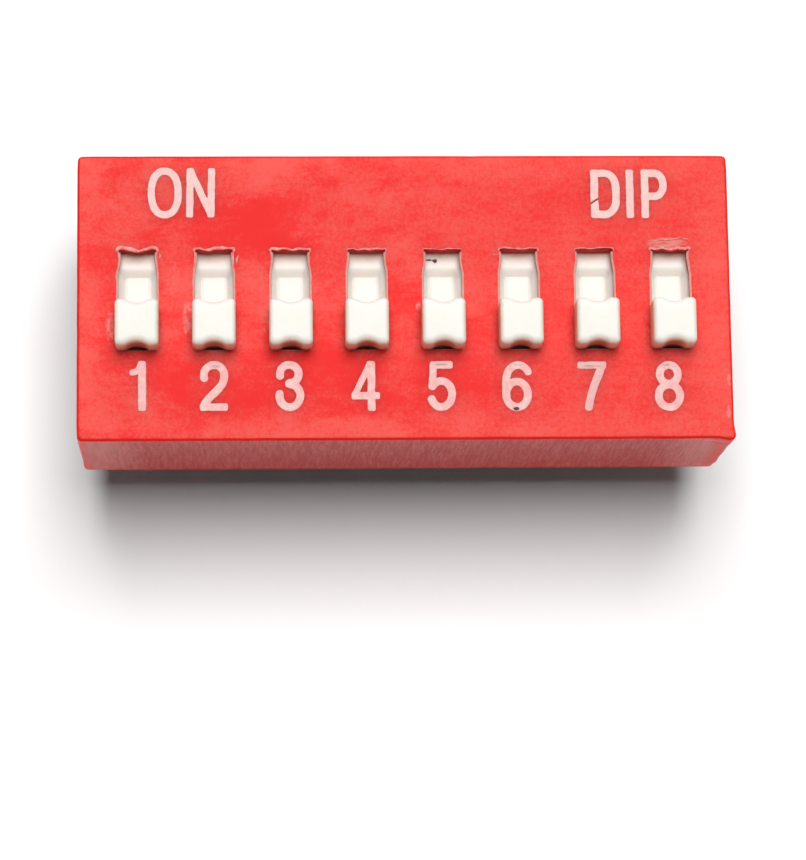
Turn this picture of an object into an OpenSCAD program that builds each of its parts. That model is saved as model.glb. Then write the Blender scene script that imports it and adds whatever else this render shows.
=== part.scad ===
// Slide DIP switch for a circuit board: a moulded cover with one window for each position,
// raised slide actuators that carry sprung contacts, and a base with two rows of terminals.
// Millimetres. X runs along the row from position 1 to the last one, Y runs towards ON and Z is up.
// The origin is the centre of the underside, which sits on the board. Every actuator is at OFF.

/* [Row] */
// Number of positions in the row
positions = 8; // [2:1:9]
// Distance from one position to the next
pitch = 2.54; // [2.45:0.01:2.8]
// Distance from the centre of the last position to the end of the cover
end_margin = 2.01; // [1.9:0.01:2.4]

/* [Cover] */
// Height of the cover above the board
cover_h = 5.6; // [5.2:0.05:6.4]
// Thickness of the cover's top
top_t = 0.5; // [0.4:0.01:0.9]
// Thickness of the cover's two long walls
side_wall = 0.5; // [0.4:0.01:0.8]
// Thickness of the cover's two end walls
end_wall = 0.6; // [0.5:0.01:0.66]
// Radius along the cover's outer edges
edge_r = 0.12; // [0.05:0.01:0.2]

/* [Windows] */
// Width of each window
window_w = 1.36; // [1.2:0.01:1.5]
// How far the windows lie from the middle of the cover, towards ON
window_shift = -0.09; // [-0.5:0.01:0.5]

/* [Actuators] */
// Distance that an actuator slides from OFF to ON
travel = 1.9; // [1.5:0.05:2.2]
// Length of the knob along its travel
knob_l = 1.56; // [1.3:0.01:2]
// Height of the knob above the cover
knob_h = 1.1; // [0.5:0.05:1.6]
// How far the knob's head overhangs the window, on each side and at each end of the travel
knob_lip = 0.04; // [0:0.01:0.1]
// Radius of the knob's upright corners
knob_corner_r = 0.16; // [0.08:0.01:0.25]
// Radius along the knob's top edges
knob_top_r = 0.15; // [0.05:0.01:0.2]
// Radius of the fingernail groove in the knob's two end faces
groove_r = 0.62; // [0.5:0.01:0.8]
// Depth of the fingernail groove
groove_depth = 0.15; // [0.08:0.01:0.2]
// Thickness of the plate under the cover
plate_t = 1.3; // [1:0.01:1.6]
// How far the plate reaches past the window at each end of the travel
plate_reach = 0.1; // [0.05:0.01:0.15]
// Width of the recess in the plate's top, round the spine
recess_w = 1.14; // [1:0.01:1.2]
// Depth of the recess
recess_depth = 0.27; // [0.22:0.01:0.5]
// Length that the recess leaves at full height at each end of the plate
plate_land = 0.63; // [0.4:0.01:0.8]
// Width of the spine that runs out from the knob
spine_w = 0.78; // [0.5:0.01:0.9]
// How far the spine's top lies below the plate's top
spine_drop = 0.2; // [0.05:0.01:0.21]
// Gap between the end of the spine and the end of the recess
spine_gap = 0.27; // [0.15:0.01:0.4]
// Thickness of the two skirts that guide the actuator
skirt_t = 0.24; // [0.18:0.01:0.3]
// Length of the skirts
skirt_l = 3.6; // [2.8:0.05:4.2]

/* [Sprung contacts] */
// Thickness of the contact strip
strip_t = 0.1; // [0.06:0.01:0.14]
// Width of the contact strip
strip_w = 0.8; // [0.6:0.01:0.95]
// Distance between the two feet
foot_span = 2.4; // [2.2:0.02:2.6]
// Radius of each foot, to the middle of the strip
foot_r = 0.2; // [0.12:0.01:0.26]
// Length of the flat part against the actuator
flat_l = 1; // [0.8:0.02:1.2]
// Length of the upturned toe on each foot
toe_l = 0.1; // [0:0.01:0.2]
// Radius of the peg that holds the strip
peg_r = 0.18; // [0.12:0.01:0.24]
// Length of the peg
peg_l = 0.2; // [0.12:0.01:0.3]

/* [Base] */
// Thickness of the base's floor
floor_t = 1.7; // [1.5:0.05:2]
// Thickness of the partitions between positions
partition_t = 0.4; // [0.3:0.01:0.5]
// Thickness of the base's two long walls
base_wall = 0.25; // [0.2:0.01:0.5]
// Free room between an actuator's plate and those walls at the ends of the travel
end_room = 0.29; // [0.1:0.01:0.5]
// How far the latches on the base's ends stand out
latch_out = 0.18; // [0.1:0.01:0.24]
// Length of the latches
latch_l = 2.4; // [1.5:0.1:4]
// Height of the latches
latch_h = 0.6; // [0.4:0.05:0.8]
// Height of the latches' upright face, under their slope
latch_face = 0.2; // [0.1:0.01:0.3]
// Height of the latches' lower edge above the board
latch_z = 0.8; // [0.5:0.05:1.2]

/* [Terminals] */
// Distance between the two rows of pins
row_spacing = 7.62; // [6.5:0.02:8.6]
// Width of a pin
pin_w = 0.5; // [0.4:0.01:0.6]
// Thickness of the terminal strip
pin_t = 0.25; // [0.2:0.01:0.3]
// Length of the pins below the board side of the body
pin_l = 3.3; // [2.5:0.1:4]
// Length of the taper at a pin's tip
tip_l = 0.5; // [0.3:0.05:0.8]
// Width of a pin at its end
tip_w = 0.26; // [0.18:0.01:0.35]
// Width of the terminal's arm and shoulders
arm_w = 0.8; // [0.65:0.01:0.95]
// Height of the shoulders above the board
shoulder_z = 0.6; // [0.4:0.05:0.9]
// Inside radius of the bend between arm and pin
bend_r = 0.1; // [0.05:0.01:0.15]
// Insulating gap between the front and back arms
pad_gap = 0.6; // [0.4:0.02:0.8]
// How far the front arm reaches past a foot's place
pad_margin = 0.25; // [0.15:0.01:0.3]

/* [Fits] */
// Gap between the cover's walls and the base
cover_gap = 0.03; // [0.02:0.01:0.06]
// Gap between the cover's top and what lies under it
top_gap = 0.05; // [0.03:0.01:0.1]
// Gap between an actuator and the partitions beside it
slide_gap = 0.06; // [0.04:0.01:0.1]
// Gap between the knob's neck and the window's long edges
neck_gap = 0.04; // [0.03:0.01:0.08]
// Gap between the knob's neck and the window's end at each end of the travel
stop_gap = 0.06; // [0.02:0.01:0.1]
// Gap between a foot and the arm under it
foot_gap = 0.02; // [0.01:0.01:0.05]
// Gap round a terminal in the base
terminal_gap = 0.03; // [0.02:0.01:0.05]
// Gap between the skirts and the base's floor
skirt_gap = 0.4; // [0.2:0.05:0.8]
// Gap round the peg in the contact strip
peg_gap = 0.02; // [0.01:0.01:0.04]

/* [Hidden] */
$fn = 48;

red = [0.86, 0.13, 0.11];
black = [0.09, 0.09, 0.1];
ivory = [0.95, 0.92, 0.85];
tin = [0.78, 0.78, 0.76];
gold = [0.83, 0.66, 0.32];

cover_l = (positions - 1) * pitch + 2 * end_margin;
// Cuts run this far past the faces that they open
past = 1;

// Windows and knobs: the neck stops just short of the window's two ends, and the head covers what is left open
window_l = knob_l + travel - 2 * knob_lip;
knob_y = window_shift - travel / 2;
head_w = window_w + 2 * knob_lip;
neck_w = window_w - 2 * neck_gap;
neck_l = knob_l - 2 * (knob_lip + stop_gap);
head_z = cover_h + neck_gap;
head_top = cover_h + knob_h;

// Actuator plate, pressed up to the cover's top
channel_w = pitch - partition_t;
plate_w = channel_w - 2 * slide_gap;
plate_l = window_l + travel + 2 * plate_reach;
plate_top = cover_h - top_t - top_gap;
plate_under = plate_top - plate_t;
plate_mid = plate_top - plate_t / 2;
recess_z = plate_top - recess_depth;
recess_l = plate_l - 2 * plate_land;
spine_l = recess_l - 2 * spine_gap;

// Sprung contact
foot_z = floor_t + foot_gap + strip_t / 2 + foot_r;

// Arms: at OFF both feet stand on the front arm, at ON the rear foot stands on the back arm
front_end = knob_y + foot_span / 2 + pad_margin;
back_end = front_end + pad_gap;
pin_y = row_spacing / 2;
slot_in = pin_y - pin_t / 2 - terminal_gap;
slot_out = pin_y + pin_t / 2 + terminal_gap;
bend_y = pin_y - pin_t / 2 - bend_r;
bend_z = floor_t - pin_t - bend_r;

// Base: its channels take the plates at both ends of the travel, and let the terminals drop in from above
channel_half = max(abs(window_shift) + (plate_l + travel) / 2 + end_room, slot_out);
base_l = cover_l - 2 * end_wall - 2 * cover_gap;
base_w = 2 * (channel_half + base_wall);
base_top = cover_h - top_t - top_gap;
cover_w = base_w + 2 * cover_gap + 2 * side_wall;

// Centre of position i along the row
function x_at(i) = (i - (positions + 1) / 2) * pitch;

// A box between two corners
module block(low, high) {
    translate(low) cube(high - low);
}

// Draws a profile of Y and Z as a solid of width w along X
module along_x(w) {
    rotate([90, 0, 90]) linear_extrude(w, center = true) children();
}

// Draws a profile of X and Z as a solid of width w along Y
module along_y(w) {
    rotate([90, 0, 0]) linear_extrude(w, center = true) children();
}

// A rectangle with round corners
module round_rect(w, l, r) {
    square([w - 2 * r, l], center = true);
    square([w, l - 2 * r], center = true);
    for (sx = [-1, 1], sy = [-1, 1])
        translate([sx * (w / 2 - r), sy * (l / 2 - r)]) circle(r);
}

// An upright profile with round top corners
module tombstone(w, low, high, r) {
    translate([-w / 2, low]) square([w, high - low - r]);
    translate([-w / 2 + r, low]) square([w - 2 * r, high - low]);
    for (side = [-1, 1]) translate([side * (w / 2 - r), high - r]) circle(r);
}

// A block with round upright corners and round top edges
module soft_block(w, l, low, high, corner_r, top_r) {
    intersection() {
        translate([0, 0, low]) linear_extrude(high - low) round_rect(w, l, corner_r);
        along_x(w) tombstone(l, low, high, top_r);
        along_y(l) tombstone(w, low, high, top_r);
    }
}

// The wedge of a latch, in X and Z: its slope lets the cover ride over it from above
module latch_profile(out, grow) {
    top = latch_z + latch_h + grow;
    polygon([[-out, latch_z - grow], [out, latch_z - grow], [out, latch_z + latch_face], [0, top], [-out, top]]);
}

// The two latches on the base's ends, or the pockets for them
module latches(out, grow) {
    for (side = [0, 180])
        rotate([0, 0, side]) translate([base_l / 2, 0, 0])
            along_y(latch_l + 2 * grow) latch_profile(out, grow);
}

module cover() {
    color(red) difference() {
        soft_block(cover_l, cover_w, 0, cover_h, edge_r, edge_r);
        block(
            [-cover_l / 2 + end_wall, -cover_w / 2 + side_wall, -past],
            [cover_l / 2 - end_wall, cover_w / 2 - side_wall, cover_h - top_t]
        );
        for (i = [1:positions])
            translate([x_at(i), window_shift, cover_h])
                cube([window_w, window_l, 2 * (top_t + past)], center = true);
        latches(latch_out + 2 * cover_gap, cover_gap);
    }
}

// Room in the base for one terminal, with y pointing out of the row: its arm, bend, shoulders and pin
module terminal_slot(inner) {
    half_arm = arm_w / 2 + terminal_gap;
    half_pin = pin_w / 2 + terminal_gap;
    block([-half_arm, inner - terminal_gap, floor_t - pin_t], [half_arm, slot_out, floor_t + past]);
    block([-half_arm, bend_y, bend_z], [half_arm, slot_out, floor_t]);
    block([-half_arm, slot_in, shoulder_z], [half_arm, slot_out, floor_t]);
    block([-half_pin, slot_in, -past], [half_pin, slot_out, floor_t]);
}

module base() {
    color(black) difference() {
        union() {
            block([-base_l / 2, -base_w / 2, 0], [base_l / 2, base_w / 2, base_top]);
            latches(latch_out, 0);
        }
        for (i = [1:positions]) translate([x_at(i), 0, 0]) {
            block([-channel_w / 2, -channel_half, floor_t], [channel_w / 2, channel_half, base_top + past]);
            mirror([0, 1, 0]) terminal_slot(-front_end);
            terminal_slot(back_end);
        }
    }
}

// Outline of the knob's head or neck from above, with the groove in each end face
module knob_outline(w, l) {
    difference() {
        round_rect(w, l, knob_corner_r);
        for (side = [-1, 1])
            translate([0, side * (knob_l / 2 - groove_depth + groove_r)]) circle(groove_r);
    }
}

// The knob: its neck runs from inside the plate to inside the head
module knob() {
    translate([0, 0, plate_mid]) linear_extrude((head_z + head_top) / 2 - plate_mid) knob_outline(neck_w, neck_l);
    intersection() {
        translate([0, 0, head_z]) linear_extrude(head_top - head_z) knob_outline(head_w, knob_l);
        soft_block(head_w, knob_l, head_z, head_top, knob_corner_r, knob_top_r);
    }
}

module slider(i) {
    color(ivory) translate([x_at(i), knob_y, 0]) {
        difference() {
            block([-plate_w / 2, -plate_l / 2, plate_under], [plate_w / 2, plate_l / 2, plate_top]);
            block([-recess_w / 2, -recess_l / 2, recess_z], [recess_w / 2, recess_l / 2, plate_top + past]);
        }
        block([-spine_w / 2, -spine_l / 2, plate_under], [spine_w / 2, spine_l / 2, plate_top - spine_drop]);
        knob();
        for (side = [-1, 1])
            translate([side * (plate_w - skirt_t) / 2, 0, 0])
                block([-skirt_t / 2, -skirt_l / 2, floor_t + skirt_gap], [skirt_t / 2, skirt_l / 2, plate_mid]);
        translate([0, 0, plate_under - peg_l]) cylinder(h = peg_l + plate_t / 2, r = peg_r);
    }
}

// A straight bar of thickness strip_t with round ends, from point a to point b
module bar(a, b) {
    run = b - a;
    translate(a) rotate(atan2(run.y, run.x)) translate([0, -strip_t / 2]) square([norm(run), strip_t]);
    for (point = [a, b]) translate(point) circle(strip_t / 2);
}

// The sprung strip seen from its side: flat on the actuator, two legs, a rounded foot on each
module contact_profile() {
    top = plate_under - strip_t / 2;
    foot_y = foot_span / 2;
    bar([-flat_l / 2, top], [flat_l / 2, top]);
    for (side = [0, 1]) mirror([side, 0]) {
        bar([flat_l / 2, top], [foot_y - foot_r, foot_z]);
        bar([foot_y + foot_r, foot_z], [foot_y + foot_r, foot_z + toe_l]);
        translate([foot_y, foot_z]) difference() {
            circle(foot_r + strip_t / 2);
            circle(foot_r - strip_t / 2);
            translate([-foot_r - past, 0]) square([2 * (foot_r + past), foot_r + past]);
        }
    }
}

module contact(i) {
    color(gold) translate([x_at(i), knob_y, 0]) difference() {
        along_x(strip_w) contact_profile();
        translate([0, 0, plate_under - strip_t - past])
            cylinder(h = strip_t + 2 * past, r = peg_r + peg_gap);
    }
}

// The terminal seen from its side, with y pointing out of the row: arm, bend and pin
module terminal_side(inner) {
    translate([inner, floor_t - pin_t]) square([bend_y - inner, pin_t]);
    translate([pin_y - pin_t / 2, -pin_l]) square([pin_t, bend_z + pin_l]);
    translate([bend_y, bend_z]) intersection() {
        difference() {
            circle(bend_r + pin_t);
            circle(bend_r);
        }
        square(bend_r + pin_t);
    }
}

// The terminal seen from the front: shoulders, pin and tapered tip
module terminal_front() {
    translate([-arm_w / 2, shoulder_z]) square([arm_w, floor_t - shoulder_z]);
    polygon([
        [-tip_w / 2, -pin_l], [tip_w / 2, -pin_l], [pin_w / 2, -pin_l + tip_l],
        [pin_w / 2, shoulder_z], [-pin_w / 2, shoulder_z], [-pin_w / 2, -pin_l + tip_l]
    ]);
}

module terminal(i, inner) {
    color(tin) translate([x_at(i), 0, 0]) intersection() {
        along_x(arm_w) terminal_side(inner);
        along_y(2 * cover_w) terminal_front();
    }
}

module front_terminal(i) {
    mirror([0, 1, 0]) terminal(i, -front_end);
}

module back_terminal(i) {
    terminal(i, back_end);
}

cover();
base();
for (i = [1:positions]) {
    slider(i);
    contact(i);
    front_terminal(i);
    back_terminal(i);
}
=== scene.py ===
import math

import bmesh
import bpy
import numpy as np
from mathutils import Matrix, Vector, noise


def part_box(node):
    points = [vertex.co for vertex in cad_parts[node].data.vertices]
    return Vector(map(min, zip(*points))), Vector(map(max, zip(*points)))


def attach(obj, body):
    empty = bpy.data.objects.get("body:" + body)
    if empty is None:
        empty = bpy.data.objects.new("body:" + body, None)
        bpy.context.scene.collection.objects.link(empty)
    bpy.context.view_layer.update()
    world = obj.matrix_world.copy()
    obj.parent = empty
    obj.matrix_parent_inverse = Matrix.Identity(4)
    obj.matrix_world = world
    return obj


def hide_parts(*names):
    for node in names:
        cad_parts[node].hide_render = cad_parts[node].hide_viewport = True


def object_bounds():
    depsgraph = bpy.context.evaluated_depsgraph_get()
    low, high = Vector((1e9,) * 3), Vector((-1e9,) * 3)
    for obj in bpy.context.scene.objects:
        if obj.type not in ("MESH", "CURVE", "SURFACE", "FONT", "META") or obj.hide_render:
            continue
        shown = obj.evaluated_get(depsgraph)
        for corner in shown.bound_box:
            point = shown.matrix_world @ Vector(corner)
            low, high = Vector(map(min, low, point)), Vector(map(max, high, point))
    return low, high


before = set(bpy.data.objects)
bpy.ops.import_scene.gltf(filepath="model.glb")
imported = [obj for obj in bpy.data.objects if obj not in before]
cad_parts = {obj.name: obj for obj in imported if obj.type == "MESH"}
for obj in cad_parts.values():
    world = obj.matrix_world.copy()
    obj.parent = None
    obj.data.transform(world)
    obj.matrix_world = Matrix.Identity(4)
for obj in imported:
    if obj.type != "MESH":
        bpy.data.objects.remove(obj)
cad_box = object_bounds()

# Sizes are in millimetres. A mesh is made in them too, and is turned into metres when it is finished.
MM = 0.001

# The switch, mostly as its CAD has it. The neck is slimmer than there, to clear the worn windows, and the
# recess and the spine in it are shallower, because their slopes are softer.
COUNT = 8
PITCH = 2.54
COVER_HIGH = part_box("cover")[1] / MM
TOP = COVER_HIGH.z
EDGE_R = 0.12
CORNER_R = 0.16
TOP_T = 0.5
SIDE_WALL = 0.5
END_WALL = 0.6
WINDOW_W = 1.36
WINDOW_L = 3.38
WINDOW_R = 0.07
WINDOW_Y = -0.09
KNOB_L = 1.56
KNOB_H = 1.1
NECK_W = 1.0
NECK_L = 1.3
HEAD_W = 1.44
HEAD_GAP = 0.04
KNOB_R = 0.16
KNOB_TOP_R = 0.15
KNOB_END_R = 0.23
GROOVE_R = 0.62
GROOVE_DEPTH = 0.13
PLATE_W = 2.02
PLATE_L = 5.48
PLATE_T = 1.3
PLATE_TOP = 5.05
RECESS_W = 1.14
RECESS_L = 4.22
RECESS_DEPTH = 0.23
SPINE_W = 0.78
SPINE_L = 3.68
SPINE_DROP = 0.18
SKIRT_T = 0.24
SKIRT_L = 3.6
SKIRT_FOOT = 2.1
PEG_R = 0.18
PEG_L = 0.2
PLATE_R = 0.085


def slider_centre(i):
    """The middle of actuator i in X, and of its plate in Y."""
    low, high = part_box(f"slider_{i}")
    return (low.x + high.x) / 2 / MM, (low.y + high.y) / 2 / MM


WINDOW_X = [slider_centre(i)[0] for i in range(1, COUNT + 1)]


# ---------------------------------------------------------------- mesh tools

def wave(x, y, seed):
    """Smooth noise from -1 to 1 at a place."""
    return noise.noise(Vector((x, y, 17.3 * seed)))


def mesh_object(name, points, faces):
    """An object from points in millimetres."""
    mesh = bpy.data.meshes.new(name)
    mesh.from_pydata(points, [], faces)
    mesh.validate()
    ob = bpy.data.objects.new(name, mesh)
    bpy.context.scene.collection.objects.link(ob)
    return ob


def loft(name, loops, ring=False):
    """A closed solid through loops of as many points each. A ring joins its last loop to its first."""
    size = len(loops[0])
    points = [p for loop in loops for p in loop]
    faces = []
    spans = len(loops) if ring else len(loops) - 1
    for k in range(spans):
        a, b = k * size, (k + 1) % len(loops) * size
        for j in range(size):
            n = (j + 1) % size
            faces.append((a + j, a + n, b + n, b + j))
    if not ring:
        last = (len(loops) - 1) * size
        faces.append(tuple(range(size))[::-1])
        faces.append(tuple(last + j for j in range(size)))
    ob = mesh_object(name, points, faces)
    outward(ob.data)
    return ob


def outward(mesh):
    """Turns the faces of a closed mesh outwards."""
    bm = bmesh.new()
    bm.from_mesh(mesh)
    bmesh.ops.recalc_face_normals(bm, faces=bm.faces)
    if bm.calc_volume(signed=True) < 0:
        bmesh.ops.reverse_faces(bm, faces=bm.faces)
    bm.to_mesh(mesh)
    bm.free()


def box_solid(name, low, high):
    (x0, y0, z0), (x1, y1, z1) = low, high
    foot = [(x0, y0), (x1, y0), (x1, y1), (x0, y1)]
    return loft(name, [[(x, y, z) for x, y in foot] for z in (z0, z1)])


def combine(ob, others, operation):
    """Joins the others to a solid, or cuts them from it, and deletes them."""
    for other in others:
        step = ob.modifiers.new(operation, "BOOLEAN")
        step.operation = operation
        step.solver = "EXACT"
        step.object = other
    bake_modifiers(ob)
    for other in others:
        bpy.data.objects.remove(other)


def bake_modifiers(ob):
    """Makes what an object's modifiers do its own mesh."""
    graph = bpy.context.evaluated_depsgraph_get()
    mesh = bpy.data.meshes.new_from_object(ob.evaluated_get(graph))
    ob.modifiers.clear()
    ob.data = mesh


def soften(ob, width, segments, angle):
    """Rounds the edges that are sharper than an angle."""
    bevel = ob.modifiers.new("bevel", "BEVEL")
    bevel.width = width
    bevel.segments = segments
    bevel.limit_method = "ANGLE"
    bevel.angle_limit = math.radians(angle)
    bevel.use_clamp_overlap = True
    bake_modifiers(ob)


def smooth(ob, angle=40, weight=50):
    """Smooth shading, apart from edges sharper than an angle. Large faces count for more as weight grows."""
    ob.data.shade_smooth()
    ob.data.set_sharp_from_angle(angle=math.radians(angle))
    level = ob.modifiers.new("level", "WEIGHTED_NORMAL")
    level.weight = weight
    level.keep_sharp = True
    bake_modifiers(ob)


def to_metres(ob):
    ob.data.transform(Matrix.Scale(MM, 4))


def round_rect(half_w, half_l, r, arc=8, gap=0.12):
    """Points and outward directions round a rectangle with round corners, with points along its sides."""
    out = []
    corners = [(1, -1, -90), (1, 1, 0), (-1, 1, 90), (-1, -1, 180)]
    for k, (sx, sy, start) in enumerate(corners):
        cx, cy = sx * (half_w - r), sy * (half_l - r)
        for j in range(arc + 1):
            a = math.radians(start + 90 * j / arc)
            out.append((cx + r * math.cos(a), cy + r * math.sin(a), math.cos(a), math.sin(a)))
        nx, ny, _ = corners[(k + 1) % 4]
        a = math.radians(start + 90)
        x0, y0 = out[-1][:2]
        x1 = nx * (half_w - r) + r * math.cos(a)
        y1 = ny * (half_l - r) + r * math.sin(a)
        steps = max(1, round(math.hypot(x1 - x0, y1 - y0) / gap))
        for j in range(1, steps):
            t = j / steps
            out.append((x0 + (x1 - x0) * t, y0 + (y1 - y0) * t, math.cos(a), math.sin(a)))
    return out


# ---------------------------------------------------------------- thin shapes cut by a field

def flat_shape(name, field, low, high, bottom, top, step=0.025):
    """A thin closed solid over the region where field(x, y) is below zero. Its rim is half as high as it."""
    xs = np.arange(low[0], high[0] + step, step)
    ys = np.arange(low[1], high[1] + step, step)
    gx, gy = np.meshgrid(xs, ys, indexing="ij")
    value = field(gx, gy)
    points, index, rim = [], {}, set()

    def corner(i, j):
        key = (i, j)
        if key not in index:
            index[key] = len(points)
            points.append((xs[i], ys[j]))
        return index[key]

    def crossing(i0, j0, i1, j1):
        key = tuple(sorted(((i0, j0), (i1, j1))))
        if key not in index:
            v0, v1 = value[i0, j0], value[i1, j1]
            t = min(0.98, max(0.02, v0 / (v0 - v1)))
            index[key] = len(points)
            points.append((xs[i0] + (xs[i1] - xs[i0]) * t, ys[j0] + (ys[j1] - ys[j0]) * t))
            rim.add(index[key])
        return index[key]

    faces = []
    inside = value < 0
    for i in range(len(xs) - 1):
        for j in range(len(ys) - 1):
            square = [(i, j), (i + 1, j), (i + 1, j + 1), (i, j + 1)]
            held = [inside[c] for c in square]
            if not any(held):
                continue
            if held in ([True, False, True, False], [False, True, False, True]):
                # Two separate corners: each gets its own triangle, so that the rim never touches itself.
                for k in range(4):
                    if held[k]:
                        at, before, after = square[k], square[k - 1], square[(k + 1) % 4]
                        faces.append((crossing(*before, *at), corner(*at), crossing(*at, *after)))
                continue
            face = []
            for k in range(4):
                a, b = square[k], square[(k + 1) % 4]
                if held[k]:
                    face.append(corner(*a))
                if held[k] != held[(k + 1) % 4]:
                    face.append(crossing(*a, *b))
            faces.append(tuple(face))
    count = len(points)
    drop = (top - bottom) * 0.5
    solid = [(x, y, top - (drop if n in rim else 0)) for n, (x, y) in enumerate(points)]
    solid += [(x, y, bottom) for x, y in points]
    edges = {}
    for face in faces:
        for k in range(len(face)):
            edges[(face[k], face[(k + 1) % len(face)])] = True
    walls = [(b, a, a + count, b + count) for a, b in edges if (b, a) not in edges]
    under = [tuple(n + count for n in face[::-1]) for face in faces]
    ob = mesh_object(name, solid, faces + under + walls)
    bm = bmesh.new()
    bm.from_mesh(ob.data)
    bmesh.ops.dissolve_limit(bm, angle_limit=math.radians(0.5), verts=bm.verts, edges=bm.edges)
    bmesh.ops.triangulate(bm, faces=[f for f in bm.faces if len(f.verts) > 4])
    bm.to_mesh(ob.data)
    bm.free()
    return ob


# Ink fills the inner corners where strokes meet, out to this distance
INK_FILL = 0.03
# Farther than any place on a sign
FAR = 9.0


def stroke_field(gx, gy, strokes, width):
    """How far each place lies outside a set of strokes. A stroke is a line with round ends, or a bar with
    square ones, of a width of its own if it has a third entry."""
    best = np.full(gx.shape, FAR)
    for stroke in strokes:
        kind, pts = stroke[0], stroke[1]
        half = (stroke[2] if len(stroke) > 2 else width) / 2
        d = np.full(gx.shape, FAR)
        for (x0, y0), (x1, y1) in zip(pts, pts[1:]):
            dx, dy = x1 - x0, y1 - y0
            length = math.hypot(dx, dy)
            if length < 1e-4:
                continue  # two arcs that meet share a point
            along = ((gx - x0) * dx + (gy - y0) * dy) / length
            if kind == "bar":
                r = 0.55 * half
                across = np.abs((gx - x0) * dy - (gy - y0) * dx) / length
                qx = np.abs(along - length / 2) - (length / 2 - r)
                qy = across - (half - r)
                here = np.hypot(np.maximum(qx, 0), np.maximum(qy, 0))
                here = here + np.minimum(np.maximum(qx, qy), 0) - r + half
            else:
                t = np.clip(along / length, 0, 1)
                here = np.hypot(gx - x0 - t * dx, gy - y0 - t * dy)
            d = np.minimum(d, here)
        d -= half
        h = np.clip(0.5 + 0.5 * (best - d) / INK_FILL, 0, 1)
        best = best * (1 - h) + d * h - INK_FILL * h * (1 - h)
    return best


def arc(cx, cy, rx, ry, start, end, power=2.0):
    """Points along part of an oval. A power above 2 makes its sides flatter."""
    steps = max(6, int(abs(end - start) / 7))
    pts = []
    for k in range(steps + 1):
        a = math.radians(start + (end - start) * k / steps)
        c, s = math.cos(a), math.sin(a)
        x, y = (math.copysign(abs(v) ** (2 / power), v) for v in (c, s))
        pts.append((cx + rx * x, cy + ry * y))
    return pts


# Each legend's strokes, from its own centre
LETTERS = {
    "O": [("line", arc(0, 0, 0.448, 0.752, 0, 360, 2.25))],
    "N": [("bar", [(-0.37, -0.85), (-0.35, 0.85)]), ("bar", [(0.335, -0.85), (0.37, 0.85)]),
          ("line", [(-0.32, 0.70), (0.315, -0.70)], 0.23)],
    "D": [("bar", [(-0.36, -0.835), (-0.36, 0.835)]),
          ("line", [(-0.36, 0.712), (0, 0.712)] + arc(-0.02, 0.22, 0.38, 0.492, 90, 0) + [(0.36, -0.22)]
           + arc(-0.02, -0.22, 0.38, 0.492, 0, -90) + [(-0.36, -0.712)])],
    "I": [("bar", [(0, -0.84), (0, 0.84)])],
    "P": [("bar", [(-0.31, -0.84), (-0.31, 0.84)]),
          ("line", [(-0.31, 0.715), (0.02, 0.715)] + arc(0.02, 0.315, 0.292, 0.40, 90, -90)
           + [(-0.31, -0.085)])],
    "1": [("bar", [(0.134, -0.84), (0.134, 0.84)]),
          ("line", [(-0.185, 0.45), (-0.08, 0.47), (0.0, 0.53), (0.06, 0.62), (0.09, 0.74)], 0.2)],
    "2": [("line", arc(0, 0.36, 0.335, 0.35, 196, 0)
           + [(0.33, 0.22), (0.27, 0.06), (0.15, -0.1), (-0.02, -0.27), (-0.19, -0.43), (-0.29, -0.57),
              (-0.33, -0.70)]),
          ("bar", [(-0.46, -0.715), (0.46, -0.715)], 0.25)],
    "3": [("line", arc(-0.02, 0.40, 0.31, 0.31, 192, -78) + [(-0.02, 0.08)]),
          ("line", [(-0.02, 0.08)] + arc(-0.005, -0.33, 0.345, 0.385, 82, -190))],
    "4": [("bar", [(0.185, -0.84), (0.185, 0.84)], 0.255), ("bar", [(-0.47, -0.33), (0.47, -0.33)], 0.245),
          ("line", [(0.13, 0.73), (-0.35, -0.27)], 0.215)],
    "5": [("bar", [(-0.37, 0.712), (0.385, 0.712)]), ("line", [(-0.255, 0.70), (-0.31, -0.02)], 0.235),
          ("line", arc(-0.005, -0.27, 0.352, 0.44, 142, -158))],
    "6": [("line", arc(0.0, -0.285, 0.362, 0.43, 0, 360)),
          ("line", arc(0.045, 0.2, 0.4, 0.51, 34, 180) + [(-0.36, -0.28)])],
    "7": [("bar", [(-0.478, 0.705), (0.478, 0.705)], 0.245),
          ("line", [(0.35, 0.68), (0.21, 0.36), (0.08, 0.05), (-0.02, -0.26), (-0.09, -0.52), (-0.13, -0.71)],
           0.262)],
    "8": [("line", arc(0, 0.395, 0.302, 0.32, 0, 360)), ("line", arc(0, -0.335, 0.356, 0.38, 0, 360))],
}
# The usual width of a stroke, and how thick the ink lies on the cover
INK_W = 0.262
INK_T = 0.012
# How deep the ink or a speck sinks into what carries it
SUNK = 0.002
# Half the room that a sign needs
SIGN_ROOM = (0.75, 1.0)


def legend(name, letter, x, y, width, scratch=None):
    """One printed sign, a thin layer of ink with a slightly uneven rim. A scratch takes some of it away."""
    seed = ord(letter)
    scratch_w = 0.02

    def unevenness(px, py):
        return wave(px * 4, py * 4, seed) + 0.5 * wave(px * 11, py * 11, seed + 1)

    def field(gx, gy):
        d = stroke_field(gx - x, gy - y, LETTERS[letter], width) + 0.012 * np.vectorize(unevenness)(gx, gy)
        if scratch:
            bare = stroke_field(gx - x, gy - y, [("line", scratch)], scratch_w)
            d = np.maximum(d, scratch_w - bare)
        return d

    half_w, half_l = SIGN_ROOM
    return flat_shape(name, field, (x - half_w, y - half_l), (x + half_w, y + half_l),
                      TOP - SUNK, TOP + INK_T)


# ---------------------------------------------------------------- materials

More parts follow.
